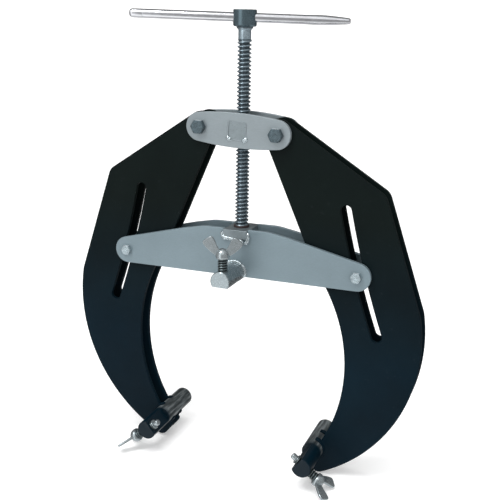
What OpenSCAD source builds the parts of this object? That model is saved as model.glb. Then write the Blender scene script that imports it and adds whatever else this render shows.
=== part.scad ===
// Pipe alignment clamp: two slotted jaws hang from a yoke, and a lead screw drives a crossbar
// whose pins run in the jaw slots. Three foot rods grip a pipe along the Y axis.
// The origin is on the axis of the gripped pipe, midway between the front and rear plates.
// X is across the jaws, Y along the pipe (front is -Y), Z up along the lead screw. Millimetres.

/* [Grip] */
// Radius of the pipe that the clamp holds in this pose
grip_r = 150.1; // [148.1:0.5:152.6]
// Angle of the jaw feet below the horizontal, seen from the pipe axis
foot_angle = 38.7; // [37:0.1:40]
// Height of the jaw pivots above the pipe axis
pivot_z = 376; // [370:1:382]

/* [Yoke] */
// Distance of each jaw pivot from the lead screw
pivot_x = 60; // [58:0.5:62]
// Thickness of the yoke, crossbar and jaw plates
plate_t = 6.35; // [5:0.05:6.35]
// Height of the yoke plates at the middle
yoke_h = 50; // [48:1:54]
// Radius of the yoke plates' round ends
yoke_end_r = 21; // [19:0.5:22]
// Lean of the yoke, right side down, within the play of the joints
yoke_lean = 2.3; // [0:0.1:2.4]

/* [Jaws] */
// Overall thickness of a jaw across its two plates
jaw_w = 32; // [28:0.5:32]
// Radius of the round upper end of a jaw
jaw_end_r = 22; // [19:0.5:22]
// Width of the jaw slot
slot_w = 15.9; // [15.2:0.1:16]
// Radius of the slot's slight curve
slot_bow_r = 1400; // [1300:50:1600]
// Slope of the slot from the vertical
slot_tilt = 16.2; // [16:0.1:16.3]
// How far the right jaw hangs open, within the play of the joints
right_hang = 0.55; // [0:0.05:0.6]
// How far the left jaw hangs shut
left_hang = 0.35; // [0:0.05:0.4]

/* [Crossbar] */
// Distance of each crossbar pin from the lead screw
pin_x = 186; // [185:0.5:187]
// Distance of the crossbar pins below the jaw pivots
pin_drop = 197; // [196:0.5:198]
// Diameter of the crossbar pins
pin_d = 9.5; // [8:0.1:9.6]
// Lean of the crossbar, left side down
cross_lean = 0.8; // [0:0.1:0.9]

/* [Lead screw] */
// Outer diameter of the lead screw
screw_d = 20.6; // [20:0.1:23]
// Height of the screw head's top above the jaw pivots
head_top = 166.1; // [160:0.1:170]
// Diameter of the screw head
head_d = 33.3; // [32:0.1:34]

/* [Handle] */
// Diameter of the sliding handle bar
bar_d = 12.7; // [11:0.1:12.7]
// Length of the handle bar
bar_len = 315; // [250:5:330]
// Turn of the handle bar about the lead screw
bar_turn = 12; // [0:1:20]
// Lean of the loose bar in its hole
bar_lean = 1.2; // [0:0.1:1.2]
// How far the bar is pushed through towards -X
bar_slip = 10.5; // [0:0.5:20]

/* [Feet] */
// Diameter of the foot rods
rod_d = 30; // [28:0.5:30]
// Length of the foot rods
rod_len = 133.4; // [125:0.2:140]
// How far the foot rods reach to the front
rod_front = 79.4; // [77:0.2:82]
// Length of the flat at the front of a foot rod
flat_len = 50.8; // [44:0.2:51]
// Distance of a foot rod's flat from its axis
flat_off = 8.6; // [8:0.1:10]
// Distance of the wing screws from the front ends of the rods
screw_inset = 10.5; // [10:0.1:14]

/* [Wing screws] */
// Outer diameter of the wing screws
wing_d = 15; // [13:0.1:15]
// How far the jaw screws' tips stand out of the flats
jaw_tip_out = 13; // [9:0.5:14]
// How far the centre screw's tip is sunk in its flat
centre_tip_in = 2.3; // [1:0.1:4]

/* [Hidden] */
$fn = 96;
eps = 0.01;             // overshoot of a cut past a face
run = 0.05;             // radial clearance of a running fit
side_gap = 0.65;        // gap between a jaw and the yoke or crossbar plate beside it

jaw_half = jaw_w / 2;
inner_face = jaw_half + side_gap;       // inner faces of the yoke and crossbar plates
outer_face = inner_face + plate_t;      // outer faces of the yoke and crossbar plates
jaw_gap = jaw_w - 2 * plate_t;          // space between a jaw's plates

zinc = "lightsteelblue";
steel = "slategray";
black = "#1b2226";

// Yoke
bush_r = 8.5;           // outer radius of a pivot bush
bush_bore_r = 6.45;
pivot_bolt_r = 6.35;
pivot_hex = 19.05;      // across flats, 1/2 in bolt
bolt_head_h = 8;
nut_h = 11;
washer_t = 1.8;
tenon_w = 25.4;         // nut block tenon in the yoke plate windows
block_w = 38;           // nut block between the plates
block_h = 38;
bead = 2.2;             // height of a weld bead on a plate
frame_w = [39.4, 30.4]; // outside of the bead frame round a tenon
frame_in = [21.4, 22.4];
thread_out = 2;         // bolt thread showing past a nut
washer_r = 13;

// Crossbar outline, from the crossbar pin line
cross_z = pivot_z - pin_drop;
cross_end_r = 20.8;
cross_top = 52;         // flat top above the pin line
cross_flat_x = 52;      // half length of the flat top before its round shoulder
cross_knee = [84, 46];  // where the round shoulder meets the slope
knee_r = 60;
thrust_top = 51;        // top of the thrust block above the pin line
thrust_w = 38;
thrust_h = 12.7;
thrust_len = 53;
journal_r = 8.5;        // screw end that turns in the thrust block
washer_h = 3;           // thrust washer under the screw's shoulder
washer_out_r = 11.75;
play = 0.3;             // end play of the screw between washer and collar
collar_h = 10;
collar_r = 13.5;
roll_pin_r = 2.5;
pin_hex = 14.3;         // across flats, 3/8 in bolt
pin_head_h = 6;
pin_nut_h = 8;
pin_washer_r = 10;
block_bead = 5;         // height of the bead under the thrust block's end
bead_out = 3;           // how far that bead stands out
rod_bead = 4.5;         // leg of the weld round the centre rod
collar_top = cross_z + thrust_top - thrust_h - play;
screw_end = collar_top - collar_h - 2;

// Lead screw heights above the jaw pivots
head_h = 23;
head_chamfer = 1.8;     // at the bottom
head_rim = 0.8;         // chamfer at the top
head_bead = 2.5;
bar_play = 0.9;         // the bar's hole is this much wider than the bar
neck_len = 4.5;
shank_len = 13;
shank_r = 9.1;
bar_z = head_top - 10.5;
shoulder_z = cross_z + thrust_top + washer_h;   // where the screw bears on the washer

// Feet
rod_r = rod_d / 2;
foot_r = grip_r + rod_r;                 // foot rod axes lie on this circle about the pipe
foot_x = foot_r * cos(foot_angle);
foot_z = -foot_r * sin(foot_angle);
wing_y = screw_inset - rod_front;        // wing screws' place along the pipe
end_chamfer = 1;
boss_r = 17.5;                           // round end of the jaw plates about the rod

// Wing screws, measured from the tip end along the screw
tip_d = 9.5;
tip_len = 8;
spigot_r = 3;
spigot_len = 6;
spigot_gap = 0.5;
jaw_hub_at = 55;        // hub centres
centre_hub_at = 47.5;
shank_end = 6;           // the shank ends inside the hub, this far before its centre
ear_t = 4.5;

// Jaw outline in the jaw's own frame: origin at its pivot, u outward, v up
slant_dir = [0.843, -0.538];             // upper edge
shoulder = [158, -75];
shoulder_r = 20;
outer_c = [-33.7, -290.9];               // the outer edge is an arc from side_at to toe_at
outer_r = 254.4;
side_at = 10.6;
toe_at = -62;
inner_c = [-140.3, -342.3];              // the inner edge is an arc from inner_from to inner_to
inner_r = 251.4;
inner_from = -29;
inner_to = 27.3;
neck_knee = [44.5, -154];                // where the inner edge of the neck bends
rod_uv = [foot_x - pivot_x, foot_z - pivot_z];
slot_mid = [126.4, -192];
slot_half = 94.5;                        // half length of the slot's centre line
spacers = [[55.5, -28], [166, -150], [166, -345]];
spacer_r = 8;

// ---------- helpers ----------

function unit(v) = v / norm(v);

function arc(c, r, a0, a1) =
  let (n = ceil(abs(a1 - a0) / (r > 100 ? 1.5 : 6)))
  [for (i = [0 : n]) c + r * [cos(a0 + (a1 - a0) * i / n), sin(a0 + (a1 - a0) * i / n)]];

// Points of a corner at q between p and s, rounded with radius r
function corner(p, q, s, r) =
  let (
    d0 = unit(p - q),
    d1 = unit(s - q),
    half = acos(d0 * d1) / 2,
    c = q + unit(d0 + d1) * r / sin(half),
    t0 = q + d0 * r / tan(half),
    t1 = q + d1 * r / tan(half),
    a0 = atan2(t0[1] - c[1], t0[0] - c[0]),
    turn = atan2(t1[1] - c[1], t1[0] - c[0]) - a0,
    sweep = turn > 180 ? turn - 360 : turn < -180 ? turn + 360 : turn
  )
  arc(c, r, a0, a0 + sweep);

// A plate standing in the XZ plane, from y0 to y1
module upright(y0, y1) {
  translate([0, y1, 0]) rotate([90, 0, 0]) linear_extrude(y1 - y0) children();
}

// A cylinder along Y from y0 to y1
module along_y(r, y0, y1) {
  translate([0, y1, 0]) rotate([90, 0, 0]) cylinder(r = r, h = y1 - y0);
}

module hexagon(af) {
  circle(d = af / cos(30), $fn = 6);
}

module hex_y(af, y0, y1) {
  translate([0, y1, 0]) rotate([90, 0, 0]) linear_extrude(y1 - y0) hexagon(af);
}

module both_sides() {
  children();
  mirror([1, 0, 0]) children();
}

module front_and_rear() {
  children();
  mirror([0, 1, 0]) children();
}

// ---------- yoke ----------

// Barrel outline: two large arcs run tangent into the round ends
module yoke_outline() {
  rise = yoke_h / 2 - yoke_end_r;
  r = (pivot_x * pivot_x - rise * rise) / (2 * rise) + yoke_h / 2;
  reach = pivot_x * (1 + yoke_end_r / (r - yoke_end_r));
  difference() {
    union() {
      for (x = [-pivot_x, pivot_x]) {
        translate([x, 0]) circle(yoke_end_r);
      }
      intersection() {
        translate([0, yoke_h / 2 - r]) circle(r, $fn = 720);
        translate([0, r - yoke_h / 2]) circle(r, $fn = 720);
        square([2 * reach, 2 * yoke_h], center = true);
      }
    }
    for (x = [-pivot_x, pivot_x]) {
      translate([x, 0]) circle(pivot_bolt_r + run);
    }
    square(tenon_w, center = true);
  }
}

// Places a shape made about the yoke's middle
module on_yoke() {
  translate([0, 0, pivot_z]) rotate([0, yoke_lean, 0]) children();
}

module yoke_plate() {
  color(zinc) on_yoke() upright(-outer_face, -inner_face) yoke_outline();
}

module yoke_nut_block() {
  color(steel) difference() {
    on_yoke() {
      cube([block_w, 2 * inner_face, block_h], center = true);
      cube([tenon_w, 2 * outer_face, tenon_w], center = true);
    }
    translate([0, 0, pivot_z]) cylinder(r = screw_d / 2 + run, h = 2 * block_h, center = true);
  }
}

module yoke_welds() {
  color(zinc) on_yoke() front_and_rear()
    upright(-outer_face - bead, -outer_face) difference() {
      square(frame_w, center = true);
      square(frame_in, center = true);
    }
}

module pivot_bolts() {
  color(zinc) on_yoke() both_sides() translate([pivot_x, 0, 0]) {
    hex_y(pivot_hex, -outer_face - bolt_head_h, -outer_face);
    along_y(pivot_bolt_r, -outer_face, outer_face + washer_t + nut_h + thread_out);
  }
}

module pivot_nuts() {
  y0 = outer_face + washer_t;
  color(zinc) on_yoke() both_sides() translate([pivot_x, 0, 0]) difference() {
    hex_y(pivot_hex, y0, y0 + nut_h);
    along_y(pivot_bolt_r + run, y0 - eps, y0 + nut_h + eps);
  }
}

module pivot_washers() {
  color(zinc) on_yoke() both_sides() translate([pivot_x, 0, 0]) difference() {
    along_y(washer_r, outer_face, outer_face + washer_t);
    along_y(pivot_bolt_r + run, outer_face - eps, outer_face + washer_t + eps);
  }
}

module pivot_bushes() {
  color(steel) on_yoke() both_sides() translate([pivot_x, 0, 0]) difference() {
    along_y(bush_r, -inner_face, inner_face);
    along_y(bush_bore_r, -inner_face - eps, inner_face + eps);
  }
}

// ---------- lead screw and handle ----------

module lead_screw() {
  top = pivot_z + head_top - head_h;
  thread_top = top - neck_len - shank_len;
  color(steel) difference() {
    union() {
      translate([0, 0, top - neck_len]) cylinder(d = screw_d, h = neck_len);
      translate([0, 0, thread_top]) cylinder(r = shank_r, h = shank_len);
      translate([0, 0, shoulder_z]) cylinder(d = screw_d, h = thread_top - shoulder_z);
      translate([0, 0, screw_end]) cylinder(r = journal_r, h = shoulder_z - screw_end);
    }
    across_collar(2 * collar_r + 1);
  }
}

// The roll pin's shape, len long, through the collar and the screw
module across_collar(len) {
  translate([0, 0, collar_top - collar_h / 2]) rotate([0, 90, 0])
    cylinder(r = roll_pin_r, h = len, center = true);
}

// Turns a shape that lies along X onto the handle bar's line
module on_bar() {
  translate([0, 0, pivot_z + bar_z]) rotate([0, 0, bar_turn]) rotate([0, bar_lean, 0]) children();
}

module screw_head() {
  color(steel) difference() {
    translate([0, 0, pivot_z + head_top - head_h]) rotate_extrude() polygon([
      [0, 0],
      [head_d / 2 - head_chamfer, 0],
      [head_d / 2, head_chamfer],
      [head_d / 2, head_h - head_rim],
      [head_d / 2 - head_rim, head_h],
      [0, head_h]
    ]);
    on_bar() rotate([0, 90, 0]) cylinder(d = bar_d + bar_play, h = 2 * head_d, center = true);
  }
}

module head_weld() {
  color(steel) translate([0, 0, pivot_z + head_top - head_h]) rotate_extrude() polygon([
    [screw_d / 2, 0],
    [screw_d / 2 + head_bead, 0],
    [screw_d / 2, -head_bead]
  ]);
}

module retaining_collar() {
  color(steel) difference() {
    translate([0, 0, collar_top - collar_h]) cylinder(r = collar_r, h = collar_h);
    translate([0, 0, collar_top - collar_h - eps]) cylinder(r = journal_r, h = collar_h + 2 * eps);
    across_collar(2 * collar_r + 1);
  }
}

module collar_pin() {
  color(zinc) across_collar(2 * collar_r - 1);
}

// The +X end is forged thicker and then drawn down, so the bar can't leave the head that way
module handle_bar() {
  r = bar_d / 2;
  forged = 62;          // length of the forged end
  bulge = 0.7;
  color("silver") on_bar() translate([-bar_slip - bar_len / 2, 0, 0]) rotate([0, 90, 0])
    rotate_extrude() polygon([
      [0, 0],
      [r - 2.5, 0],
      [r, 4],
      [r, bar_len - forged],
      [r + bulge, bar_len - forged + 14],
      [r + bulge, bar_len - forged + 28],
      [4.6, bar_len - 3],
      [3.2, bar_len],
      [0, bar_len]
    ]);
}

// ---------- crossbar ----------

// Right half of the crossbar's outline, from the bottom of its end circle to the flat top
function cross_edge() =
  let (
    end = [pin_x, 0],
    to_knee = cross_knee - end,
    // the slope touches the end circle at this angle
    touch = atan2(to_knee[1], to_knee[0]) - acos(cross_end_r / norm(to_knee)),
    flat_end = [cross_flat_x, cross_top]
  )
  concat(
    arc(end, cross_end_r, -90, touch),
    corner(end + cross_end_r * [cos(touch), sin(touch)], cross_knee, flat_end, knee_r),
    corner(cross_knee, flat_end, [0, cross_top], knee_r)
  );

// Places a shape made about the middle of the pin line
module on_crossbar() {
  translate([0, 0, cross_z]) rotate([0, -cross_lean, 0]) children();
}

module crossbar_outline() {
  edge = cross_edge();
  n = len(edge);
  difference() {
    rotate(cross_lean) polygon(concat(edge, [for (i = [n - 1 : -1 : 0]) [-edge[i][0], edge[i][1]]]));
    for (x = [-pin_x, pin_x]) {
      rotate(cross_lean) translate([x, 0]) circle(pin_d / 2 + run);
    }
    translate([-thrust_w / 2, thrust_top - thrust_h]) square([thrust_w, 2 * thrust_h]);
    translate([0, foot_r - cross_z]) circle(rod_r);
  }
}

module crossbar_plate() {
  color(zinc) translate([0, 0, cross_z]) upright(-outer_face, -inner_face) crossbar_outline();
}

module thrust_block() {
  color(steel) difference() {
    translate([-thrust_w / 2, -thrust_len / 2, cross_z + thrust_top - thrust_h])
      cube([thrust_w, thrust_len, thrust_h]);
    translate([0, 0, cross_z]) cylinder(r = journal_r + run, h = 2 * thrust_top);
  }
}

module thrust_washer() {
  color("sienna") translate([0, 0, cross_z + thrust_top]) difference() {
    cylinder(r = washer_out_r, h = washer_h);
    translate([0, 0, -eps]) cylinder(r = journal_r + run, h = washer_h + 2 * eps);
  }
}

// Beads under the thrust block's ends, and rings where the centre rod meets the plates
module crossbar_welds() {
  z = cross_z + thrust_top - thrust_h;
  color(zinc) front_and_rear() {
    translate([-thrust_w / 2 - bead_out, -outer_face - bead_out, z - block_bead])
      cube([thrust_w + 2 * bead_out, bead_out, block_bead]);
    translate([0, 0, foot_r]) ring_bead(-outer_face, rod_bead);
  }
}

module crossbar_pins() {
  color(zinc) on_crossbar() both_sides() translate([pin_x, 0, 0]) {
    hex_y(pin_hex, -outer_face - pin_head_h, -outer_face);
    along_y(pin_d / 2, -outer_face, outer_face + washer_t + pin_nut_h + thread_out);
  }
}

module crossbar_nuts() {
  y0 = outer_face + washer_t;
  color(zinc) on_crossbar() both_sides() translate([pin_x, 0, 0]) difference() {
    hex_y(pin_hex, y0, y0 + pin_nut_h);
    along_y(pin_d / 2 + run, y0 - eps, y0 + pin_nut_h + eps);
  }
}

module crossbar_washers() {
  color(zinc) on_crossbar() both_sides() translate([pin_x, 0, 0]) difference() {
    along_y(pin_washer_r, outer_face, outer_face + washer_t);
    along_y(pin_d / 2 + run, outer_face - eps, outer_face + washer_t + eps);
  }
}

// ---------- feet ----------

// Chamfer cut round the front end of a rod
module rod_end_cut() {
  rotate([-90, 0, 0]) rotate_extrude() polygon([
    [rod_r - end_chamfer, 0],
    [rod_r + 1, end_chamfer + 1],
    [rod_r + 1, -1],
    [rod_r - end_chamfer - 1, -1]
  ]);
}

// Rod along Y with a flat under its front part and a cross hole there for its wing screw
module foot_rod() {
  difference() {
    along_y(rod_r, -rod_front, rod_len - rod_front);
    translate([-rod_d, -rod_front - 1, -flat_off - rod_d]) cube([2 * rod_d, flat_len + 1, rod_d]);
    translate([0, wing_y, -rod_d]) cylinder(r = wing_d / 2 + run, h = 2 * rod_d);
    translate([0, -rod_front, 0]) rod_end_cut();
    translate([0, rod_len - rod_front, 0]) mirror([0, 1, 0]) rod_end_cut();
  }
}

// Ring of weld round a rod on a face at y, built towards -Y, open below where the plate ends
module ring_bead(y, leg) {
  intersection() {
    translate([0, y, 0]) rotate([90, 0, 0]) rotate_extrude() polygon([
      [rod_r, 0],
      [rod_r + leg, 0],
      [rod_r, leg]
    ]);
    translate([-rod_d, y - rod_d, -flat_off]) cube([2 * rod_d, rod_d, 2 * rod_d]);
  }
}

module centre_foot_rod() {
  color(steel) translate([0, 0, foot_r]) foot_rod();
}

// Hangs a jaw, made square to the screw, from its pivot on the leaning yoke; side is 1 or -1
module hang_jaw(side) {
  translate([side * pivot_x * cos(yoke_lean), 0, pivot_z - side * pivot_x * sin(yoke_lean)])
    rotate([0, side > 0 ? -right_hang : -left_hang, 0])
      translate([-side * pivot_x, 0, -pivot_z]) children();
}

// Places a foot's own frame (flat down, at the pipe's top) at a jaw foot
module at_jaw_foot(side) {
  hang_jaw(side) rotate([0, side * (90 + foot_angle), 0]) translate([0, 0, foot_r]) children();
}

// ---------- wing screws, in a foot's own frame, pointing down to the pipe ----------

// out is how far the tip stands out of the flat
module screw_tip(out) {
  color("gainsboro") translate([0, wing_y, -flat_off - out]) {
    cylinder(d = tip_d, h = tip_len);
    cylinder(r = spigot_r, h = tip_len + spigot_len);
  }
}

// One ear, drawn at the side of the screw's axis
module wing_outline() {
  polygon([
    [0, -6], [8, -5.5], [16.5, 0], [25, 7.5], [29.5, 13], [29.5, 16.5],
    [20, 23.5], [15.5, 24], [12, 18.5], [8.5, 10.5], [5, 5], [0, 3]
  ]);
}

// Button of a hub, turned about the screw's axis
module hub() {
  rotate_extrude() polygon([
    [0, -8], [8.5, -8], [10, -6.8], [10.5, -5], [10.4, -3], [9.9, -0.5],
    [8.8, 2], [7, 4.3], [4.6, 6], [2, 6.9], [0, 7]
  ]);
}

module wing_screw(out, turn, hub_at) {
  color("silver") translate([0, wing_y, -flat_off - out]) rotate([0, 0, turn]) difference() {
    union() {
      translate([0, 0, tip_len]) cylinder(d = wing_d, h = hub_at - tip_len - shank_end);
      translate([0, 0, hub_at]) hub();
      for (a = [0, 180]) {
        rotate([0, 0, a]) translate([0, 0, hub_at]) upright(-ear_t / 2, ear_t / 2) wing_outline();
      }
    }
    translate([0, 0, tip_len - eps]) cylinder(r = spigot_r + run, h = spigot_len + spigot_gap);
  }
}

module centre_screw() {
  translate([0, 0, foot_r]) wing_screw(-centre_tip_in, 12, centre_hub_at);
}

// ---------- jaws ----------

// Outline of a jaw plate, clockwise from the inner side of its round upper end
function blade() =
  let (
    slant_at = atan2(slant_dir[0], -slant_dir[1]),
    side = outer_c + outer_r * [cos(side_at), sin(side_at)],
    foot_at = 180 - foot_angle,          // direction from the rod to the pipe
    to_pipe = [cos(foot_at), sin(foot_at)],
    down_edge = [-sin(foot_at), cos(foot_at)],
    mouth = acos(flat_off / boss_r),     // the round end stops short of the pipe, level with the rod's flat
    last = outer_c + outer_r * [cos(toe_at), sin(toe_at)],
    toe = rod_uv - 30 * to_pipe + 30 * down_edge,
    heel = rod_uv - 5 * to_pipe + 25 * down_edge,
    end = jaw_end_r * [cos(slant_at), sin(slant_at)]
  )
  concat(
    arc([0, 0], jaw_end_r, 215, slant_at),
    corner(end, shoulder, side, shoulder_r),
    arc(outer_c, outer_r, side_at, toe_at),
    corner(last, toe, heel, 12),
    corner(toe, heel, rod_uv + boss_r * down_edge, 7),
    arc(rod_uv, boss_r, foot_at + 97, foot_at + mouth),
    arc(rod_uv, boss_r, foot_at - mouth, foot_at - 87),
    arc(inner_c, inner_r, inner_from, inner_to),
    [neck_knee]
  );

// Slot with a slightly curved centre line and round ends
module slot_outline() {
  out_dir = [cos(slot_tilt), sin(slot_tilt)];
  c = slot_mid + slot_bow_r * out_dir;
  swing = slot_half / slot_bow_r * 180 / PI;
  mid = 180 + slot_tilt;
  intersection() {
    translate(c) difference() {
      circle(slot_bow_r + slot_w / 2, $fn = 2880);
      circle(slot_bow_r - slot_w / 2, $fn = 2880);
    }
    polygon([
      c,
      c + 1.1 * slot_bow_r * [cos(mid - swing), sin(mid - swing)],
      c + 1.1 * slot_bow_r * [cos(mid + swing), sin(mid + swing)]
    ]);
  }
  for (s = [-1, 1]) {
    translate(c + slot_bow_r * [cos(mid + s * swing), sin(mid + s * swing)]) circle(d = slot_w);
  }
}

module jaw_outline() {
  difference() {
    polygon(blade());
    circle(bush_r + run);
    slot_outline();
    translate(rod_uv) circle(rod_r);
  }
}

// side is 1 for the right jaw, -1 for the left; rear is 1 for the rear plate
module jaw_plate(side, rear) {
  y0 = rear ? jaw_half - plate_t : -jaw_half;
  color(black) hang_jaw(side) mirror([side < 0 ? 1 : 0, 0, 0]) translate([pivot_x, 0, pivot_z])
    upright(y0, y0 + plate_t) jaw_outline();
}

module jaw_spacers(side) {
  color(black) hang_jaw(side) mirror([side < 0 ? 1 : 0, 0, 0]) translate([pivot_x, 0, pivot_z])
    for (p = spacers) {
      translate([p[0], 0, p[1]]) along_y(spacer_r, -jaw_gap / 2, jaw_gap / 2);
    }
}

module jaw_welds(side) {
  color(black) at_jaw_foot(side) front_and_rear() ring_bead(-jaw_half, boss_r - rod_r);
}

module jaw_foot_rod(side) {
  color(black) at_jaw_foot(side) foot_rod();
}

yoke_plate();  // yoke_front_plate
mirror([0, 1, 0]) yoke_plate();  // yoke_rear_plate
yoke_nut_block();
yoke_welds();
pivot_bolts();
pivot_nuts();
pivot_washers();
pivot_bushes();
lead_screw();
screw_head();
head_weld();
retaining_collar();
collar_pin();
handle_bar();
crossbar_plate();  // crossbar_front_plate
mirror([0, 1, 0]) crossbar_plate();  // crossbar_rear_plate
thrust_block();
thrust_washer();
crossbar_welds();
crossbar_pins();
crossbar_nuts();
crossbar_washers();
centre_foot_rod();
centre_screw();  // centre_wing_screw
translate([0, 0, foot_r]) screw_tip(-centre_tip_in);  // centre_screw_tip
jaw_plate(-1, 0);  // left_jaw_front_plate
jaw_plate(-1, 1);  // left_jaw_rear_plate
jaw_spacers(-1);  // left_jaw_spacers
jaw_welds(-1);  // left_jaw_welds
jaw_foot_rod(-1);  // left_foot_rod
at_jaw_foot(-1) wing_screw(jaw_tip_out, 97, jaw_hub_at);  // left_wing_screw
at_jaw_foot(-1) screw_tip(jaw_tip_out);  // left_screw_tip
jaw_plate(1, 0);  // right_jaw_front_plate
jaw_plate(1, 1);  // right_jaw_rear_plate
jaw_spacers(1);  // right_jaw_spacers
jaw_welds(1);  // right_jaw_welds
jaw_foot_rod(1);  // right_foot_rod
at_jaw_foot(1) wing_screw(jaw_tip_out, 88, jaw_hub_at);  // right_wing_screw
at_jaw_foot(1) screw_tip(jaw_tip_out);  // right_screw_tip
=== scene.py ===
"""Looks of a pipe alignment clamp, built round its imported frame."""
import math
import bmesh
import bpy
from mathutils import Matrix, Vector, noise


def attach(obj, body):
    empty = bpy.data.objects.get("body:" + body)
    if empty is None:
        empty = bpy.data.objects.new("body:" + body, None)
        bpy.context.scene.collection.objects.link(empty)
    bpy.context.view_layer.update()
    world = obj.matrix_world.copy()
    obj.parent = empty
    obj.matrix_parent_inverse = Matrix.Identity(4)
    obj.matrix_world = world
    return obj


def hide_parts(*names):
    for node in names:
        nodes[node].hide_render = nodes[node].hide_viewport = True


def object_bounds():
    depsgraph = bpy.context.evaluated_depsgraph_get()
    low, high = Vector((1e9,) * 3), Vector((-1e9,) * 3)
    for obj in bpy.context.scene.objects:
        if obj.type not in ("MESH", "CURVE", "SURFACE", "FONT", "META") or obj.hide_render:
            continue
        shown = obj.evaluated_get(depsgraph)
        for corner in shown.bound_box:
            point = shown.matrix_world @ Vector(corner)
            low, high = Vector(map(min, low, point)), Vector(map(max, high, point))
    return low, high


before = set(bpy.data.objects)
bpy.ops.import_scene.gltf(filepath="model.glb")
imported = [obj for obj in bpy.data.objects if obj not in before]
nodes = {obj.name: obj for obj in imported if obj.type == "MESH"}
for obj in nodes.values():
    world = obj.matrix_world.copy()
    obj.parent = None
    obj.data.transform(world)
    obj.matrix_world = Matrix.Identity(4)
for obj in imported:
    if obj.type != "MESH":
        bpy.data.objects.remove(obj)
cad_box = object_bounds()
scene = bpy.context.scene

# ---------- sizes of the part, in millimetres ----------
PIVOT_X, PIVOT_Z = 60.0, 376.0
PIN_X, CROSS_Z = 186.0, 179.0
OUTER = 23.0                         # outer faces of the yoke and crossbar plates
HEAD_TOP, HEAD_H = 542.1, 23.0
SCREW_R, SHANK_R, JOURNAL_R, PITCH = 10.3, 9.1, 8.35, 5.6444
BAR_Z, BAR_LEN, BAR_SLIP = 531.6, 315.0, 10.5
BAR_TURN, BAR_LEAN = 12, 1.2
THRUST_TOP, THRUST_H, WASHER_H = 230.0, 12.7, 3.0
FOOT_R, FLAT, ROD_R = 165.1, 8.6, 15.0
WING_Y, WING_R, WING_PITCH = -68.9, 7.5, 3.8
JAW_TIP_OUT, CENTRE_TIP_IN = 13.0, 2.3
JAW_HUB_AT, CENTRE_HUB_AT = 55.0, 47.5
NUT_SEAT = OUTER + 1.8                # nuts bear on washers this thick
FOOT_ANGLE, JAW_HALF = 38.7, 16.0
YOKE_LEAN, CROSS_LEAN = 2.3, 0.8
HANG = {"left": 0.35, "right": 0.55}
SIGN = {"left": -1, "right": 1}


# ---------- materials ----------
def new_material(name):
    mat = bpy.data.materials.new(name)
    mat.use_nodes = True
    tree = mat.node_tree
    return mat, tree, tree.nodes["Principled BSDF"]


def node(tree, kind, **values):
    made = tree.nodes.new(kind)
    for key, value in values.items():
        if key in made.inputs:
            made.inputs[key].default_value = value
        else:
            setattr(made, key, value)
    return made


def noise_at(tree, scale, detail=4.0, stretch=(1, 1, 1)):
    coords = node(tree, "ShaderNodeTexCoord")
    mapping = node(tree, "ShaderNodeMapping")
    mapping.inputs["Scale"].default_value = stretch
    made = node(tree, "ShaderNodeTexNoise", Scale=scale, Detail=detail, Roughness=0.55)
    tree.links.new(coords.outputs["Object"], mapping.inputs["Vector"])
    tree.links.new(mapping.outputs["Vector"], made.inputs["Vector"])
    return made.outputs["Fac"]


def ramp(tree, fac, stops):
    made = node(tree, "ShaderNodeValToRGB")
    elements = made.color_ramp.elements
    while len(elements) < len(stops):
        elements.new(0.5)
    for element, (place, colour) in zip(elements, stops):
        element.position = place
        element.color = (*colour, 1)
    tree.links.new(fac, made.inputs["Fac"])
    return made.outputs["Color"]


def mix(tree, fac, a, b, blend="MIX"):
    made = node(tree, "ShaderNodeMix", data_type="RGBA", blend_type=blend)
    for socket, value in ((made.inputs[0], fac), (made.inputs[6], a), (made.inputs[7], b)):
        if isinstance(value, bpy.types.NodeSocket):
            tree.links.new(value, socket)
        elif isinstance(value, tuple):
            socket.default_value = (*value, 1)
        else:
            socket.default_value = value
    return made.outputs[2]


def spread(tree, fac, low, high):
    made = node(tree, "ShaderNodeMapRange")
    made.inputs["To Min"].default_value = low
    made.inputs["To Max"].default_value = high
    made.inputs["From Min"].default_value = 0.3
    made.inputs["From Max"].default_value = 0.7
    tree.links.new(fac, made.inputs["Value"])
    return made.outputs["Result"]


def scaled(colour, k):
    return tuple(min(1.0, c * k) for c in colour)


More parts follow.
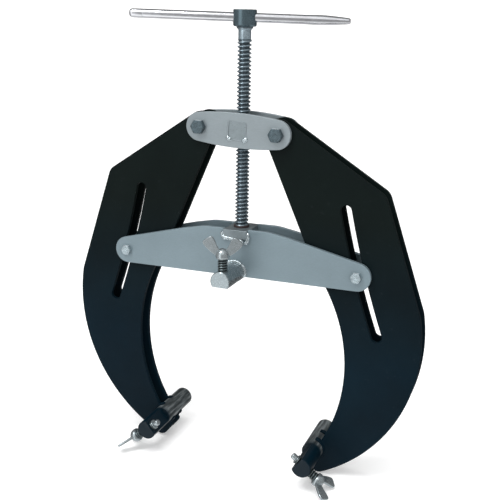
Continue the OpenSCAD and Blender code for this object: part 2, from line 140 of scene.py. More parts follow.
def finish_metal(name, colour, rough, metallic=1.0, mottle=0.12, blotch=60, grain=900,
                 stretch=(1, 1, 1), bump=0.12, rough_var=0.1, edge=0.25, root_shade=None, top=None):
    """A metal surface: blotches, grain and brighter worn edges.

    An optional dark colour is painted shade, laid where the per-point thread mask is 0 (the thread roots); an
    optional light colour is a painted highlight on the faces that look up.
    """
    mat, tree, shader = new_material(name)
    links = tree.links
    broad = noise_at(tree, blotch, 5)
    fine = noise_at(tree, grain, 3, stretch)
    tone = ramp(tree, broad, [(0.3, scaled(colour, 1 - mottle)), (0.7, scaled(colour, 1 + mottle))])
    streak = ramp(tree, fine, [(0.3, (0.88, 0.88, 0.88)), (0.7, (1.0, 1.0, 1.0))])
    tone = mix(tree, 1.0, tone, streak, "MULTIPLY")
    # painted shade: the thread roots take the dark colour
    if root_shade:
        unshaded = node(tree, "ShaderNodeAttribute", attribute_name="unshaded")
        tone = mix(tree, unshaded.outputs["Fac"], root_shade, tone)
    geometry = node(tree, "ShaderNodeNewGeometry")
    # painted highlight: faces that look up take the light colour
    if top:
        axes = node(tree, "ShaderNodeSeparateXYZ")
        links.new(geometry.outputs["Normal"], axes.inputs["Vector"])
        painted_top_highlight = node(tree, "ShaderNodeMapRange")
        painted_top_highlight.inputs["From Min"].default_value = 0.55
        painted_top_highlight.inputs["From Max"].default_value = 0.85
        links.new(axes.outputs["Z"], painted_top_highlight.inputs["Value"])
        tone = mix(tree, painted_top_highlight.outputs["Result"], tone, top)
    if edge:
        sharp = node(tree, "ShaderNodeMapRange")
        sharp.inputs["From Min"].default_value = 0.52
        sharp.inputs["From Max"].default_value = 0.62
        sharp.inputs["To Max"].default_value = edge
        links.new(geometry.outputs["Pointiness"], sharp.inputs["Value"])
        tone = mix(tree, sharp.outputs["Result"], tone, scaled(colour, 1.7))
    links.new(tone, shader.inputs["Base Color"])
    links.new(spread(tree, fine, max(0.03, rough - rough_var), rough + rough_var), shader.inputs["Roughness"])
    shader.inputs["Metallic"].default_value = metallic
    bumps = node(tree, "ShaderNodeBump", Strength=bump, Distance=0.0004)
    links.new(fine, bumps.inputs["Height"])
    links.new(bumps.outputs["Normal"], shader.inputs["Normal"])
    return mat


def black_tone(tree):
    """Colour of the black coat: painted light that makes it lighter and bluer towards the bottom, dusty
    specks and edges rubbed grey.
    """
    coords = node(tree, "ShaderNodeTexCoord")
    axes = node(tree, "ShaderNodeSeparateXYZ")
    tree.links.new(coords.outputs["Object"], axes.inputs["Vector"])
    # painted light: from z 0.26 m down to 0.04 m the coat turns lighter and bluer
    low = node(tree, "ShaderNodeMapRange")
    low.inputs["From Min"].default_value = 0.26
    low.inputs["From Max"].default_value = 0.04
    tree.links.new(axes.outputs["Z"], low.inputs["Value"])
    tone = mix(tree, low.outputs["Result"], (0.0026, 0.0058, 0.0052), (0.0012, 0.0085, 0.0150))
    shift = ramp(tree, noise_at(tree, 9, 4), [(0.3, (0.75, 0.75, 0.75)), (0.7, (1.15, 1.15, 1.15))])
    tone = mix(tree, 1.0, tone, shift, "MULTIPLY")
    dust = ramp(tree, noise_at(tree, 140, 6), [(0.64, (0, 0, 0)), (0.85, (0.008, 0.009, 0.010))])
    tone = mix(tree, 1.0, tone, dust, "ADD")
    geometry = node(tree, "ShaderNodeNewGeometry")
    sharp = node(tree, "ShaderNodeMapRange")
    sharp.inputs["From Min"].default_value = 0.53
    sharp.inputs["From Max"].default_value = 0.66
    sharp.inputs["To Max"].default_value = 0.5
    tree.links.new(geometry.outputs["Pointiness"], sharp.inputs["Value"])
    return mix(tree, sharp.outputs["Result"], tone, (0.018, 0.022, 0.026))


def finish_black():
    """Black powder coat with a fine orange peel."""
    mat, tree, shader = new_material("black_powder_coat")
    tree.links.new(black_tone(tree), shader.inputs["Base Color"])
    tree.links.new(spread(tree, noise_at(tree, 12, 4), 0.42, 0.56), shader.inputs["Roughness"])
    shader.inputs["Specular IOR Level"].default_value = 0.06
    bumps = node(tree, "ShaderNodeBump", Strength=0.14, Distance=0.0003)
    tree.links.new(noise_at(tree, 1500, 2), bumps.inputs["Height"])
    tree.links.new(bumps.outputs["Normal"], shader.inputs["Normal"])
    return mat


def finish_rod_black():
    """Jaw rods: painted at the front, with bare darkened steel and lengthwise streaks behind."""
    mat, tree, shader = new_material("dark_rod")
    links = tree.links
    along = noise_at(tree, 170, 5, (1, 0.12, 1))
    bare = ramp(tree, along, [(0.34, (0.022, 0.028, 0.030)), (0.50, (0.075, 0.088, 0.092)),
                              (0.66, (0.26, 0.29, 0.30))])
    coords = node(tree, "ShaderNodeTexCoord")
    axes = node(tree, "ShaderNodeSeparateXYZ")
    links.new(coords.outputs["Object"], axes.inputs["Vector"])
    behind = node(tree, "ShaderNodeMapRange")
    behind.inputs["From Min"].default_value = -0.029
    behind.inputs["From Max"].default_value = -0.020
    links.new(axes.outputs["Y"], behind.inputs["Value"])
    links.new(mix(tree, behind.outputs["Result"], black_tone(tree), bare), shader.inputs["Base Color"])
    metal = node(tree, "ShaderNodeMath", operation="MULTIPLY")
    metal.inputs[1].default_value = 0.55
    links.new(behind.outputs["Result"], metal.inputs[0])
    links.new(metal.outputs["Value"], shader.inputs["Metallic"])
    links.new(spread(tree, along, 0.30, 0.46), shader.inputs["Roughness"])
    shader.inputs["Specular IOR Level"].default_value = 0.2
    bumps = node(tree, "ShaderNodeBump", Strength=0.15, Distance=0.0004)
    links.new(noise_at(tree, 900, 3), bumps.inputs["Height"])
    links.new(bumps.outputs["Normal"], shader.inputs["Normal"])
    return mat


ZINC = finish_metal("zinc_plate", (0.225, 0.262, 0.280), 0.42, metallic=0.35, mottle=0.06, blotch=14,
                    grain=1200, stretch=(0.25, 1, 1), bump=0.10)
ZINC_BLUE = finish_metal("zinc_plate_blue", (0.172, 0.228, 0.256), 0.40, metallic=0.35, mottle=0.10, blotch=9,
                         grain=1200, stretch=(0.25, 1, 1), bump=0.10)
MACHINED = finish_metal("machined_steel", (0.19, 0.225, 0.24), 0.36, metallic=0.6, mottle=0.10, blotch=90)
WELD = finish_metal("weld_metal", (0.50, 0.57, 0.60), 0.22, metallic=0.85, mottle=0.4, blotch=420, bump=0.4,
                    edge=0.6)
# screw steel with painted shade in its thread roots
SCREW = finish_metal("screw_steel", (0.33, 0.41, 0.46), 0.28, metallic=0.8, mottle=0.10, blotch=160,
                     bump=0.10, root_shade=(0.085, 0.110, 0.128))
# dark head steel; its up-facing top is a painted highlight
HEAD = finish_metal("head_steel", (0.115, 0.165, 0.19), 0.27, metallic=0.85, mottle=0.10, blotch=90,
                    bump=0.05, rough_var=0.04, edge=0.35, top=(0.60, 0.65, 0.67))
ROD_STEEL = finish_metal("bright_rod", (0.32, 0.37, 0.39), 0.24, metallic=0.85, mottle=0.06, blotch=90,
                         bump=0.06, rough_var=0.05)
BRIGHT = finish_metal("bright_bar", (0.68, 0.69, 0.72), 0.17, mottle=0.06, blotch=40, grain=700,
                      stretch=(0.08, 1, 1), bump=0.05, rough_var=0.05)
# fasteners: their up-facing faces get a painted highlight
FASTENER = finish_metal("zinc_fastener", (0.34, 0.41, 0.44), 0.30, metallic=0.7, mottle=0.28, blotch=230,
                        bump=0.25, edge=0.5, top=(0.62, 0.66, 0.68))
FASTENER_DARK = finish_metal("dark_fastener", (0.075, 0.105, 0.12), 0.32, metallic=0.7, mottle=0.4,
                             blotch=260, bump=0.25, edge=0.5, top=(0.55, 0.59, 0.61))
BRONZE = finish_metal("thrust_bronze", (0.075, 0.052, 0.05), 0.42, metallic=0.6, mottle=0.2, blotch=300)
BUSH = finish_metal("bush_steel", (0.25, 0.26, 0.27), 0.35)
WING = finish_metal("bright_screw", (0.40, 0.45, 0.47), 0.24, metallic=0.85, mottle=0.10, blotch=150,
                    bump=0.03, rough_var=0.02)
# dark thread with near-black painted shade in its roots
WING_THREAD = finish_metal("dark_thread", (0.16, 0.20, 0.21), 0.3, metallic=0.8, mottle=0.2, blotch=220,
                           bump=0.2, root_shade=(0.010, 0.014, 0.016))
BLACK = finish_black()
ROD_BLACK = finish_rod_black()


# ---------- mesh helpers ----------
def add_piece(name, verts, faces, mat, slot, body, replaces=(), unshaded=None, bevel=0.0, level=0, smooth=True):
    """A new piece from points in millimetres in the part's frame."""
    mesh = bpy.data.meshes.new(name)
    mesh.from_pydata([Vector(v) * 0.001 for v in verts], [], faces)
    mesh.validate()
    obj = bpy.data.objects.new(name, mesh)
    scene.collection.objects.link(obj)
    # per-point mask of the painted shade in thread roots: 0 in a root, 1 elsewhere
    if unshaded is not None:
        mesh.attributes.new("unshaded", "FLOAT", "POINT").data.foreach_set("value", unshaded)
    bm = bmesh.new()
    bm.from_mesh(mesh)
    bmesh.ops.recalc_face_normals(bm, faces=bm.faces)
    bm.to_mesh(mesh)
    bm.free()
    for poly in mesh.polygons:
        poly.use_smooth = smooth
    mesh.materials.append(mat)
    if bevel:
        mod = obj.modifiers.new("edges", "BEVEL")
        mod.width = bevel * 0.001
        mod.segments = 2
        mod.limit_method = "ANGLE"
        mod.angle_limit = math.radians(32)
    if level:
        mod = obj.modifiers.new("round", "SUBSURF")
        mod.levels = mod.render_levels = level
    mod = obj.modifiers.new("normals", "WEIGHTED_NORMAL")
    mod.weight = 90
    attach(obj, body)
    if replaces:
        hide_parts(*replaces)
    return obj


def bevelled(node_name, mat, body, width=0.6, segments=2, only_sharper=32):
    """A CAD node's own shape with its facets joined and its edges rounded."""
    bm = bmesh.new()
    bm.from_mesh(nodes[node_name].data)
    bmesh.ops.remove_doubles(bm, verts=bm.verts, dist=2e-6)
    bmesh.ops.dissolve_limit(bm, angle_limit=math.radians(0.4), verts=bm.verts, edges=bm.edges)
    edges = [e for e in bm.edges if len(e.link_faces) == 2
             and e.calc_face_angle(0) > math.radians(only_sharper)]
    bmesh.ops.bevel(bm, geom=edges, offset=width * 0.001, offset_type="OFFSET", segments=segments,
                    profile=0.5, affect="EDGES", clamp_overlap=True)
    bm.normal_update()
    caps = [f for f in bm.faces if len(f.verts) > 4]
    flat = set(caps)
    for cap in caps:
        for edge in cap.edges:
            flat.update(f for f in edge.link_faces if f.normal.dot(cap.normal) > 0.99999)
    for face in bm.faces:
        face.smooth = face not in flat
    mesh = bpy.data.meshes.new(node_name + "_look")
    bm.to_mesh(mesh)
    bm.free()
    mesh.materials.append(mat)
    obj = bpy.data.objects.new(node_name + "_look", mesh)
    scene.collection.objects.link(obj)
    mod = obj.modifiers.new("normals", "WEIGHTED_NORMAL")
    mod.weight = 100
    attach(obj, body)
    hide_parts(node_name)
    return obj


class Build:
    """Collects points and faces of several shells, each placed by a matrix."""

    def __init__(self):
        self.verts, self.faces, self.unshaded = [], [], []

    def add(self, verts, faces, place=Matrix.Identity(4), unshaded=1.0):
        base = len(self.verts)
        self.verts += [place @ Vector(v) for v in verts]
        self.faces += [[base + i for i in f] for f in faces]
        self.unshaded += unshaded if isinstance(unshaded, list) else [unshaded] * len(verts)

    def grid(self, rows, place=Matrix.Identity(4), loop=False, unshaded=None):
        """Rings of equal length; the ends are capped, or joined when loop is set."""
        n = len(rows[0])
        verts = [p for row in rows for p in row]
        faces = []
        count = len(rows)
        for i in range(count if loop else count - 1):
            k = (i + 1) % count
            for j in range(n):
                m = (j + 1) % n
                faces.append([i * n + j, i * n + m, k * n + m, k * n + j])
        if not loop:
            faces.append(list(range(n)))
            faces.append(list(range((count - 1) * n, count * n)))
        self.add(verts, faces, place, unshaded if unshaded is not None else 1.0)

    def lathe(self, profile, place=Matrix.Identity(4), n=48, loop=False):
        rows = [[(r * math.cos(2 * math.pi * j / n), r * math.sin(2 * math.pi * j / n), z)
                 for j in range(n)] for r, z in profile]
        self.grid(rows, place, loop)

    def piece(self, name, mat, slot, body, replaces=(), **options):
        # only threads carry the painted root-shade mask
        unshaded = self.unshaded if min(self.unshaded) < 1 else None
        return add_piece(name, self.verts, self.faces, mat, slot, body, replaces, unshaded=unshaded, **options)


def hexagon_r(af, angle):
    turned = (angle % (math.pi / 3)) - math.pi / 6
    return af / 2 / math.cos(turned)


def hex_body(build, af, height, place, hole=0.0, both=False, n=48):
    """A hexagon prism with a coned top, and a coned bottom when both is set."""
    cone = af * 0.475
    rows = []

    def ring(fn):
        rows.append([fn(2 * math.pi * j / n) for j in range(n)])

    def round_at(r, z):
        ring(lambda a: (r * math.cos(a), r * math.sin(a), z))

    def hex_at(top):
        def point(a):
            r = hexagon_r(af, a)
            drop = (r - cone) * 0.55
            z = height - drop if top else (drop if both else 0.0)
            return (r * math.cos(a), r * math.sin(a), z)
        ring(point)

    round_at(max(hole, 0.2), 0)
    round_at(cone, 0)
    hex_at(False)
    hex_at(True)
    round_at(cone, height)
    if hole:
        round_at(hole + 0.6, height)
        round_at(hole, height - 0.6)
    else:
        round_at(cone * 0.93, height - 0.15)
        round_at(0.2, height - 0.15)
    build.grid(rows, place, loop=bool(hole))


def thread(build, r, depth, pitch, z0, z1, place=Matrix.Identity(4), n=48, per=14, crest=0.12, root=0.20):
    """A right-hand thread from z0 to z1 as one ring grid, fading out at both ends."""
    count = max(4, int((z1 - z0) / pitch * per))
    rows, unshaded = [], []
    for i in range(count + 1):
        z = z0 + (z1 - z0) * i / count
        fade = min(1.0, (z - z0) / (0.6 * pitch), (z1 - z) / (0.6 * pitch))
        row = []
        for j in range(n):
            a = 2 * math.pi * j / n
            t = abs(((z / pitch - a / (2 * math.pi)) % 1.0) - 0.5) * 2       # 0 at the crest
            rise = min(1.0, max(0.0, (1 - root - t) / (1 - root - crest)))
            radius = r - depth * (1 - rise) * max(0.0, fade)
            row.append((radius * math.cos(a), radius * math.sin(a), z))
            # mask for painted shade: 0 in the thread root, 1 on crests and flanks
            unshaded.append(rise)
        rows.append(row)
    build.grid(rows, place, unshaded=unshaded)


def bead(build, path, radius, closed=False, ripple=2.1, seed=0.0, sides=12, flatten=1.0, face=None):
    """A weld bead along path: a rippled tube, flattened along the direction face."""
    points = [Vector(p) for p in path]
    dense = []
    for i in range(len(points) if closed else len(points) - 1):
        a, b = points[i], points[(i + 1) % len(points)]
        steps = max(1, int((b - a).length / 0.55))
        dense += [a.lerp(b, k / steps) for k in range(steps)]
    if not closed:
        dense.append(points[-1])
    rows = []
    total = len(dense)
    face = Vector(face or (0, 1, 0)).normalized()
    run = 0.0
    for i, p in enumerate(dense):
        before = dense[i - 1] if i or closed else dense[i]
        after = dense[(i + 1) % total] if i + 1 < total or closed else dense[i]
        along = (after - before).normalized()
        side = along.cross(face).normalized()
        up = side.cross(along).normalized()
        run += (p - before).length
        swell = 1 + 0.16 * abs(math.sin(math.pi * run / ripple))
        swell += 0.22 * noise.noise(p * 0.16 + Vector((seed, 0, 0)))
        swell += 0.10 * noise.noise(p * 0.6 + Vector((0, seed, 0)))
        if not closed:
            end = min(i, total - 1 - i) / 4
            swell *= min(1.0, 0.35 + 0.65 * end)
        rows.append([p + (side * math.cos(a) + up * math.sin(a) * flatten) * radius * swell
                     for a in (2 * math.pi * k / sides for k in range(sides))])
    build.grid(rows, loop=closed)


def ring_path(centre, radius, a0, a1, y, steps=60):
    """Arc in the XZ plane about centre (x, z), angles in degrees from +X."""
    angles = [math.radians(a0 + (a1 - a0) * k / steps) for k in range(steps + 1)]
    return [(centre[0] + radius * math.cos(a), y, centre[1] + radius * math.sin(a)) for a in angles]


def turned(axis, degrees):
    return Matrix.Rotation(math.radians(degrees), 4, axis)


def moved(x, y, z):
    return Matrix.Translation((x, y, z))


TO_FRONT = turned("X", 90)           # local +Z points to -Y, local +Y points up
TO_REAR = turned("X", -90)

YOKE = moved(0, 0, PIVOT_Z) @ turned("Y", YOKE_LEAN)
CROSS = moved(0, 0, CROSS_Z) @ turned("Y", -CROSS_LEAN)
CENTRE_FOOT = moved(0, 0, FOOT_R)


def jaw_foot(side):
    """A foot's own frame, flat side down, where the jaw hangs on the leaning yoke."""
    sign = SIGN[side]
    pivot = YOKE @ Vector((sign * PIVOT_X, 0, 0))
    return (moved(*pivot) @ turned("Y", -HANG[side]) @ moved(-sign * PIVOT_X, 0, -PIVOT_Z)
            @ turned("Y", sign * (90 + FOOT_ANGLE)) @ moved(0, 0, FOOT_R))


# ---------- plates, blocks and rods with rounded edges ----------
for end in ("front", "rear"):
    bevelled(f"yoke_{end}_plate", ZINC, "yoke", 0.7)
    bevelled(f"crossbar_{end}_plate", ZINC_BLUE, "crossbar", 0.6)
    for side in SIGN:
        bevelled(f"{side}_jaw_{end}_plate", BLACK, f"{side}_jaw", 0.7)
for side in SIGN:
    bevelled(f"{side}_foot_rod", ROD_BLACK, f"{side}_jaw", 0.5)
    bevelled(f"{side}_jaw_spacers", BLACK, f"{side}_jaw", 0.5)
bevelled("yoke_nut_block", MACHINED, "yoke", 0.6)
bevelled("pivot_bushes", BUSH, "yoke", 0.3)
bevelled("thrust_block", MACHINED, "crossbar", 0.7)
bevelled("thrust_washer", BRONZE, "crossbar", 0.4)
bevelled("centre_foot_rod", ROD_STEEL, "crossbar", 0.5)
bevelled("screw_head", HEAD, "lead_screw", 0.5)
bevelled("retaining_collar", MACHINED, "lead_screw", 0.7)
bevelled("collar_pin", FASTENER, "lead_screw", 0.4)


# ---------- bolts, nuts and washers ----------
def bolt_set(name, at, x, af, head_h, shank_r, reach, body, mat=FASTENER):
    build = Build()
    for s in (-1, 1):
        hex_body(build, af, head_h, at @ moved(s * x, -OUTER, 0) @ TO_FRONT)
        build.lathe([(0.2, 0), (shank_r, 0), (shank_r, reach - 1.4), (shank_r - 1.1, reach), (0.2, reach)],
                    at @ moved(s * x, -OUTER, 0) @ TO_REAR, n=32)
    build.piece(name + "_look", mat, "zinc_fastener", body, (name,), bevel=0.25)


def nut_set(name, at, x, af, height, hole, y, body):
    build = Build()
    for s in (-1, 1):
        hex_body(build, af, height, at @ moved(s * x, y, 0) @ TO_REAR, hole=hole, both=True)
    build.piece(name + "_look", FASTENER, "zinc_fastener", body, (name,), bevel=0.25)


def washer_set(name, at, x, outer, hole, thick, body):
    build = Build()
    for s in (-1, 1):
        build.lathe([(hole, 0.2), (hole, thick - 0.2), (hole + 0.2, thick), (outer - 0.5, thick),
                     (outer, thick - 0.5), (outer, 0.3), (outer - 0.3, 0), (hole + 0.2, 0)],
                    at @ moved(s * x, OUTER, 0) @ TO_REAR, loop=True)
    build.piece(name + "_look", FASTENER, "zinc_fastener", body, (name,))


bolt_set("pivot_bolts", YOKE, PIVOT_X, 19.05, 8.0, 6.35, 60.8, "yoke", FASTENER_DARK)
nut_set("pivot_nuts", YOKE, PIVOT_X, 19.05, 11.0, 6.4, NUT_SEAT, "yoke")
washer_set("pivot_washers", YOKE, PIVOT_X, 13.0, 6.4, 1.8, "yoke")
bolt_set("crossbar_pins", CROSS, PIN_X, 14.3, 6.0, 4.75, 57.8, "crossbar")
nut_set("crossbar_nuts", CROSS, PIN_X, 14.3, 8.0, 4.8, NUT_SEAT, "crossbar")
washer_set("crossbar_washers", CROSS, PIN_X, 10.0, 4.8, 1.8, "crossbar")

# ---------- lead screw ----------
build = Build()
top = HEAD_TOP - HEAD_H
shoulder = THRUST_TOP + WASHER_H
build.lathe([(0.2, top - 4.5), (SCREW_R - 1.2, top - 4.5), (SCREW_R - 0.4, top - 3.9), (SCREW_R, top - 2.5),
             (SCREW_R, top), (0.2, top)])
build.lathe([(0.2, top - 18), (SHANK_R, top - 18), (SHANK_R, top - 4), (0.2, top - 4)])
thread(build, SCREW_R, 3.0, PITCH, shoulder + 0.06, top - 17.5, n=56, per=18)
build.lathe([(0.2, 205.0), (JOURNAL_R - 0.7, 205.0), (JOURNAL_R, 205.7), (JOURNAL_R, shoulder + 0.5),
             (0.2, shoulder + 0.5)])
build.piece("lead_screw_look", SCREW, "screw_steel", "lead_screw", ("lead_screw",))

build = Build()
ring = [(SCREW_R * math.cos(a), SCREW_R * math.sin(a), top - 0.9)
        for a in (math.pi * k / 30 for k in range(60))]
bead(build, ring, 1.5, closed=True, face=(0, 0, 1), seed=3.0)
# no thread mask on this bead, so all of it takes the screw's painted root-shade colour
build.piece("head_weld_look", SCREW, "weld_metal", "lead_screw", ("head_weld",))

# ---------- handle bar ----------
BAR = (moved(0, 0, BAR_Z) @ turned("Z", BAR_TURN) @ turned("Y", BAR_LEAN)
       @ moved(-BAR_SLIP - BAR_LEN / 2, 0, 0))
# place along the bar, half width, half thickness
stations = [
    (0.0, 0.2, 0.2), (0.0, 3.2, 3.2), (0.5, 4.5, 4.5), (1.6, 5.4, 5.4), (3.2, 6.0, 6.0), (5.0, 6.3, 6.3),
    (19.0, 6.35, 6.35), (19.5, 6.05, 6.05), (20.3, 6.05, 6.05), (20.8, 6.35, 6.35),
    (80.0, 6.35, 6.35), (150.0, 6.35, 6.35), (220.0, 6.35, 6.35), (253.0, 6.35, 6.35),
    (262.0, 6.7, 6.5), (272.0, 7.05, 6.7), (281.0, 7.0, 6.6), (290.0, 6.6, 6.1), (300.0, 6.0, 5.3),
    (309.0, 5.3, 4.5), (312.5, 4.9, 4.1), (314.4, 4.3, 3.5), (315.0, 3.4, 2.7), (315.0, 0.2, 0.2),
]
build = Build()
build.grid([[(x, wide * math.cos(2 * math.pi * j / 40), thick * math.sin(2 * math.pi * j / 40))
             for j in range(40)] for x, wide, thick in stations], BAR)
build.piece("handle_bar_look", BRIGHT, "bright_bar", "handle_bar", ("handle_bar",))

# ---------- weld beads ----------
corner_beads, side_beads = Build(), Build()
for s in (-1, 1):
    y = s * OUTER
    sides = [([(-13.8, y, 12.0), (-14.0, y, 0), (-13.8, y, -9.0)], 1.1),
             ([(13.6, y, 11.5), (13.8, y, -9.0)], 1.1),
             ([(-7.0, y, -13.6), (8.0, y, -13.6)], 0.9)]
    corners = [([(-14.6, y, -8.0), (-13.4, y, -12.6), (-8.0, y, -14.2)], 2.7),
               ([(8.0, y, -14.2), (13.2, y, -13.0), (15.0, y, -8.0)], 2.9)]
    for build, runs in ((side_beads, sides), (corner_beads, corners)):
        for i, (path, radius) in enumerate(runs):
            bead(build, [YOKE @ Vector(p) for p in path], radius, seed=1.0 + 2 * i + s, flatten=0.7)
corner_beads.piece("yoke_welds_look", WELD, "weld_metal", "yoke", ("yoke_welds",), level=1)
side_beads.piece("yoke_side_beads", ZINC, "weld_metal", "yoke", level=1)

build = Build()
for s in (-1, 1):
    y = s * OUTER
    z = THRUST_TOP - THRUST_H
    out = y + s * 1.6
    bead(build, [(-20.5, out, z + 9), (-20.6, out, z + 3), (-17, out, z - 0.5), (-9, out, z - 1.0),
                 (1, out, z - 1.6), (9, out, z - 3.6), (14, out, z - 7.5)], 3.1, seed=2.0 + s, flatten=0.9)
    bead(build, [(20.5, out, z + 11), (20.8, out, z + 4), (19.5, out, z - 3), (15.5, out, z - 8)], 2.6,
         seed=8.0 + s, flatten=0.9)
    bead(build, ring_path((0, FOOT_R), ROD_R + 1.1, -27, 207, y), 3.1, seed=4.0 + s, flatten=0.95)
    bead(build, ring_path((0, FOOT_R), ROD_R + 1.8, 50, 128, y + s * 2.2), 3.0, seed=5.0 + s, flatten=0.95)
build.piece("crossbar_welds_look", WELD, "weld_metal", "crossbar", ("crossbar_welds",), level=1)

for side, sign in SIGN.items():
    place = jaw_foot(side)
    build = Build()
    for s in (-1, 1):
        path = [place @ Vector(p) for p in ring_path((0, 0), ROD_R + 0.7, -30, 210, s * JAW_HALF)]
        bead(build, path, 2.0, seed=6.0 + s + sign, flatten=0.9)
    build.piece(f"{side}_jaw_welds_look", BLACK, "black_coat", f"{side}_jaw", (f"{side}_jaw_welds",), level=1)


# ---------- wing screws ----------
EAR = [(0, -6), (8, -5.5), (16.5, 0), (25, 7.5), (29.5, 13), (29.5, 16.5), (20, 23.5), (15.5, 24), (12, 18.5),
       (8.5, 10.5), (5, 5), (0, 3)]


def corners_cut(points):
    """Closed outline with each corner replaced by two points near it."""
    out = []
    for a, b in zip(points, points[1:] + points[:1]):
        out += [a.lerp(b, 0.22), a.lerp(b, 0.78)]
    return out


def inset(points, by):
    """Counterclockwise closed outline moved inwards."""
    out = []
    for i, p in enumerate(points):
        along = (points[(i + 1) % len(points)] - points[i - 1]).normalized()
        out.append(p + Vector((-along.y, along.x)) * by)
    return out


def ear(build, place, flip):
    """One forged wing with a rounded rim, thinner at its end than at the hub."""
    outline = corners_cut([Vector(p) for p in EAR])
    rows = []
    for depth, by in ((-1, 1.0), (-0.86, 0.35), (-0.5, 0), (0.5, 0), (0.86, 0.35), (1, 1.0)):
        rows.append([(p.x * flip, depth * (2.3 - 0.018 * p.x), p.y) for p in inset(outline, by)])
    build.grid(rows, place)


HUB = [(0.2, -8.0), (8.5, -8.0), (9.8, -7.1), (10.5, -5.0), (10.4, -3.0), (9.9, -0.5), (8.8, 2.0), (7.0, 4.3),
       (4.6, 6.0), (2.0, 6.9), (0.2, 7.0)]


def wing_screw(side, place, out, turn, hub_at):
    body = f"{side}_wing_screw"
    at = place @ moved(0, WING_Y, -FLAT - out) @ turned("Z", turn)
    shank = Build()
    thread(shank, WING_R, 1.4, WING_PITCH, 8.8, hub_at - 7.5, at, n=40, per=12)
    shank.piece(f"{side}_wing_shank", WING_THREAD, "bright_screw", body, (body,))
    build = Build()
    hub = at @ moved(0, 0, hub_at)
    build.lathe(HUB, hub, n=40)
    build.lathe([(3.2, 8.0), (6.6, 8.0), (7.3, 8.6), (7.3, 9.8), (3.2, 9.8)], at, n=40, loop=True)
    for flip in (-1, 1):
        ear(build, hub, flip)
    build.piece(f"{side}_wing_ears", WING, "bright_screw", body)
    tip = Build()
    spot = place @ moved(0, WING_Y, -FLAT - out)
    tip.lathe([(0.2, 0), (3.4, 0), (4.2, 0.35), (4.75, 1.2), (4.75, 7.4), (4.3, 8.0), (3.0, 8.0),
               (3.0, 13.8), (0.2, 13.8)], spot, n=32)
    tip_name = f"{side}_screw_tip"
    tip.piece(tip_name + "_look", WING, "bright_screw", tip_name, (tip_name,), bevel=0.2)


wing_screw("left", jaw_foot("left"), JAW_TIP_OUT, 97, JAW_HUB_AT)
wing_screw("right", jaw_foot("right"), JAW_TIP_OUT, 88, JAW_HUB_AT)
wing_screw("centre", CENTRE_FOOT, -CENTRE_TIP_IN, 12, CENTRE_HUB_AT)

# ---------- camera ----------
AZ, EL, ROLL, DIST = math.radians(21.79), math.radians(15.96), math.radians(1.15), 1.150
AIM = Vector((0.01449, 0, 0.19482))  # the point that the camera looks at, in metres
back = Vector((math.sin(AZ) * math.cos(EL), -math.cos(AZ) * math.cos(EL), math.sin(EL)))
across = Vector((math.cos(AZ), math.sin(AZ), 0))
up = back.cross(across)
right = across * math.cos(ROLL) + up * math.sin(ROLL)
above = up * math.cos(ROLL) - across * math.sin(ROLL)
eye = AIM + back * DIST
cam_data = bpy.data.cameras.new("camera")
cam_data.sensor_width = 36
cam_data.lens = 54.717
camera = bpy.data.objects.new("camera", cam_data)
scene.collection.objects.link(camera)
camera.matrix_world = Matrix((
    (right.x, above.x, back.x, eye.x),
    (right.y, above.y, back.y, eye.y),
    (right.z, above.z, back.z, eye.z),
    (0, 0, 0, 1)))
scene.camera = camera

# ---------- floor and light ----------
low = min(p[2] for p in cad_box)
floor_mat, floor_tree, floor_shader = new_material("pale_floor")
shade = ramp(floor_tree, noise_at(floor_tree, 3, 2), [(0.3, (0.93, 0.93, 0.93)), (0.7, (0.96, 0.96, 0.96))])
floor_tree.links.new(shade, floor_shader.inputs["Base Color"])
floor_shader.inputs["Roughness"].default_value = 0.9
floor_shader.inputs["Specular IOR Level"].default_value = 0.1
floor_shader.inputs["Emission Color"].default_value = (1, 1, 1, 1)
floor_shader.inputs["Emission Strength"].default_value = 0.20
sweep = [(-2.2, 0.0), (1.6, 0.0), (1.9, 0.02), (2.15, 0.09), (2.36, 0.22), (2.5, 0.42), (2.56, 0.7),
         (2.58, 2.6)]
verts, faces = [], []
for y, z in sweep:
    verts += [(-4.0, y, z), (4.0, y, z)]
for i in range(len(sweep) - 1):
    faces.append([2 * i, 2 * i + 1, 2 * i + 3, 2 * i + 2])
floor_mesh = bpy.data.meshes.new("floor")
floor_mesh.from_pydata(verts, [], faces)
for poly in floor_mesh.polygons:
    poly.use_smooth = True
floor_mesh.materials.append(floor_mat)
floor = bpy.data.objects.new("floor", floor_mesh)
scene.collection.objects.link(floor)
floor.location = (0, 0, low - 0.0005)
floor.rotation_euler = (0, 0, AZ)


def area_light(name, place, target, size, power, tall=None):
    data = bpy.data.lights.new(name, "AREA")
    data.energy = power
    data.shape = "RECTANGLE"
    data.size = size
    data.size_y = tall or size
    obj = bpy.data.objects.new(name, data)
    scene.collection.objects.link(obj)
    obj.location = place
    obj.rotation_euler = (Vector(target) - Vector(place)).to_track_quat("-Z", "Y").to_euler()
    return obj


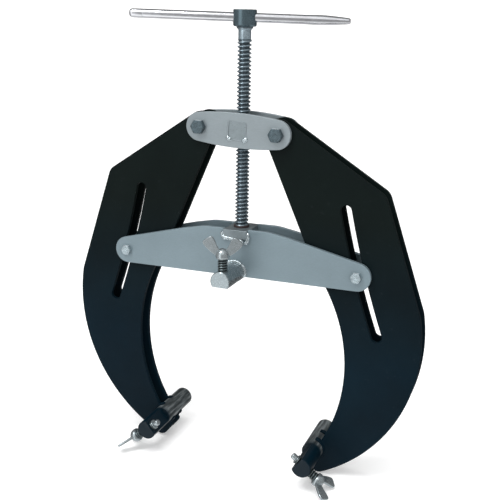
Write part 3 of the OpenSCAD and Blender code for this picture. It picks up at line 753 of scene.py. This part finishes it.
area_light("key", (-0.75, -1.15, 2.0), (0, 0, 0.25), 0.55, 22, 1.1)
for light in (area_light("fill", (1.6, -1.2, 0.6), (0, 0, 0.2), 1.2, 12),
              area_light("top", (0.1, -0.1, 1.9), (0, 0, 0.2), 1.2, 22)):
    light.visible_glossy = False     # only the key shows as a highlight
floor.visible_glossy = False

world = bpy.data.worlds.new("studio")
world.use_nodes = True
tree = world.node_tree
coords = node(tree, "ShaderNodeTexCoord")


def towards(direction, flat):
    """Cosine of the angle to a direction; with flat set, of the angle round the vertical."""
    level = node(tree, "ShaderNodeVectorMath", operation="MULTIPLY")
    level.inputs[1].default_value = (1, 1, 0) if flat else (1, 1, 1)
    unit = node(tree, "ShaderNodeVectorMath", operation="NORMALIZE")
    dot = node(tree, "ShaderNodeVectorMath", operation="DOT_PRODUCT")
    dot.inputs[1].default_value = direction
    tree.links.new(coords.outputs["Generated"], level.inputs[0])
    tree.links.new(level.outputs["Vector"], unit.inputs[0])
    tree.links.new(unit.outputs["Vector"], dot.inputs[0])
    return dot.outputs["Value"]


def brighter(a, b):
    made = node(tree, "ShaderNodeMath", operation="MAXIMUM")
    tree.links.new(a, made.inputs[0])
    tree.links.new(b, made.inputs[1])
    return made.outputs["Value"]


def step_up(value, start, stop, low_value, high_value):
    made = node(tree, "ShaderNodeMapRange", interpolation_type="SMOOTHSTEP")
    limits = {"From Min": start, "From Max": stop, "To Min": low_value, "To Max": high_value}
    for key, number in limits.items():
        made.inputs[key].default_value = number
    tree.links.new(value, made.inputs["Value"])
    return made.outputs["Result"]


room = step_up(towards((-math.sin(AZ), math.cos(AZ), 0), False), 0.0, 0.75, 0.40, 0.12)
strip = step_up(towards((-0.42, -0.907, 0), True), 0.93, 0.985, 0.0, 1.5)
ceiling = step_up(towards((0.1, -0.60, 0.79), False), 0.80, 0.93, 0.0, 1.2)
path = node(tree, "ShaderNodeLightPath")
ground = step_up(towards((0, 0, -1), False), 0.40, 0.72, 0.0, 0.9)
lit = brighter(brighter(room, strip), brighter(ceiling, ground))
tree.links.new(mix(tree, path.outputs["Is Camera Ray"], lit, (1.0, 1.0, 1.0)),
               tree.nodes["Background"].inputs["Color"])
scene.world = world
scene.view_settings.view_transform = "Standard"

bpy.context.view_layer.update()
